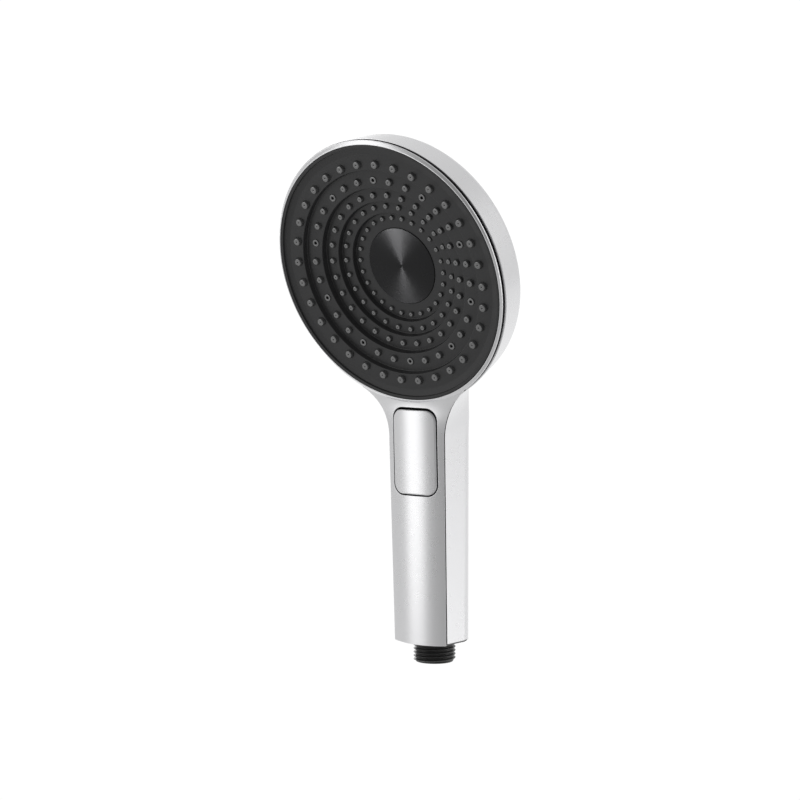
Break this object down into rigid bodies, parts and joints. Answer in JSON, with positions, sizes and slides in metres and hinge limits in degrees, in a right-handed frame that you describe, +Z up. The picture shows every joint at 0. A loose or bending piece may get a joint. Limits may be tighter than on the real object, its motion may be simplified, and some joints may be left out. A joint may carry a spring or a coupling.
{
  "type": "handheld shower head",
  "caption": "Handheld shower head with a round stepped black spray face, a tapered flat grip, a rocking mode button and a G1/2 threaded inlet.",
  "frame": {"origin": "on the inlet thread's axis, in the plane of the grip's lower end, where the thread meets its shoulder", "axes": "+Z up the grip towards the head, the spray face looks towards -Y and tilts down, +X to the viewer's right when facing the spray face"},
  "size_m": [0.1354, 0.0722, 0.2605],
  "materials": {
    "satin_chrome": "satin plated plastic",
    "face_plastic": "satin black moulding",
    "silicone": "glossy grey silicone",
    "brushed_gunmetal": "spun brushed, dark",
    "stainless": "plain",
    "brass": "machined",
    "inner_plastic": "moulded",
    "inlet_plastic": "satin black moulding",
    "acetal": "moulded",
    "seal_rubber": "matte",
    "filter_steel": "woven mesh",
    "regulator_plastic": "moulded"
  },
  "bodies": {
    "casing": {"front_casing": "satin_chrome", "rear_casing": "satin_chrome", "spray_plate": "face_plastic", "nozzle_mat": "silicone", "centre_disc": "brushed_gunmetal", "centre_screw": "stainless", "centre_insert": "brass", "water_plate": "inner_plastic", "chamber_cover": "inner_plastic", "chamber_seal": "seal_rubber", "cover_screws": "stainless", "duct_seals": "seal_rubber", "selector_body": "inner_plastic", "body_screws": "stainless", "selector_seal": "seal_rubber", "selector_bonnet": "inner_plastic", "bonnet_seal": "seal_rubber", "bonnet_screws": "stainless", "plunger_seal": "seal_rubber", "pivot_pin": "stainless", "inlet_tube": "inlet_plastic", "tube_seals": "seal_rubber", "inlet_filter": "filter_steel", "flow_regulator": "regulator_plastic", "regulator_seal": "seal_rubber"},
    "button": {"button_cap": "satin_chrome", "button_lever": "inner_plastic"},
    "plunger": {"plunger": "acetal", "plunger_spring": "stainless"},
    "rotor": {"selector_rotor": "acetal"}
  },
  "joints": [
    {"name": "button_press", "type": "hinge", "parent": "casing", "child": "button", "pos_m": [0, -0.011, 0.079], "axis": [-1, 0, 0], "range_deg": [0, 3.5], "stiffness_Nm_per_rad": 1.5, "springref_deg": -2.86},
    {"name": "plunger_slide", "type": "slide", "parent": "casing", "child": "plunger", "axis": [0, 1, 0], "range_m": [0, 0.0016], "deforming": ["plunger_spring"]},
    {"name": "rotor_index", "type": "hinge", "parent": "casing", "child": "rotor", "pos_m": [0, 0, 0.105], "axis": [0, 1, 0], "continuous": true}
  ],
  "couplings": [
    {"joint": "plunger_slide", "follows": "button_press", "m_per_rad": 0.026}
  ]
}
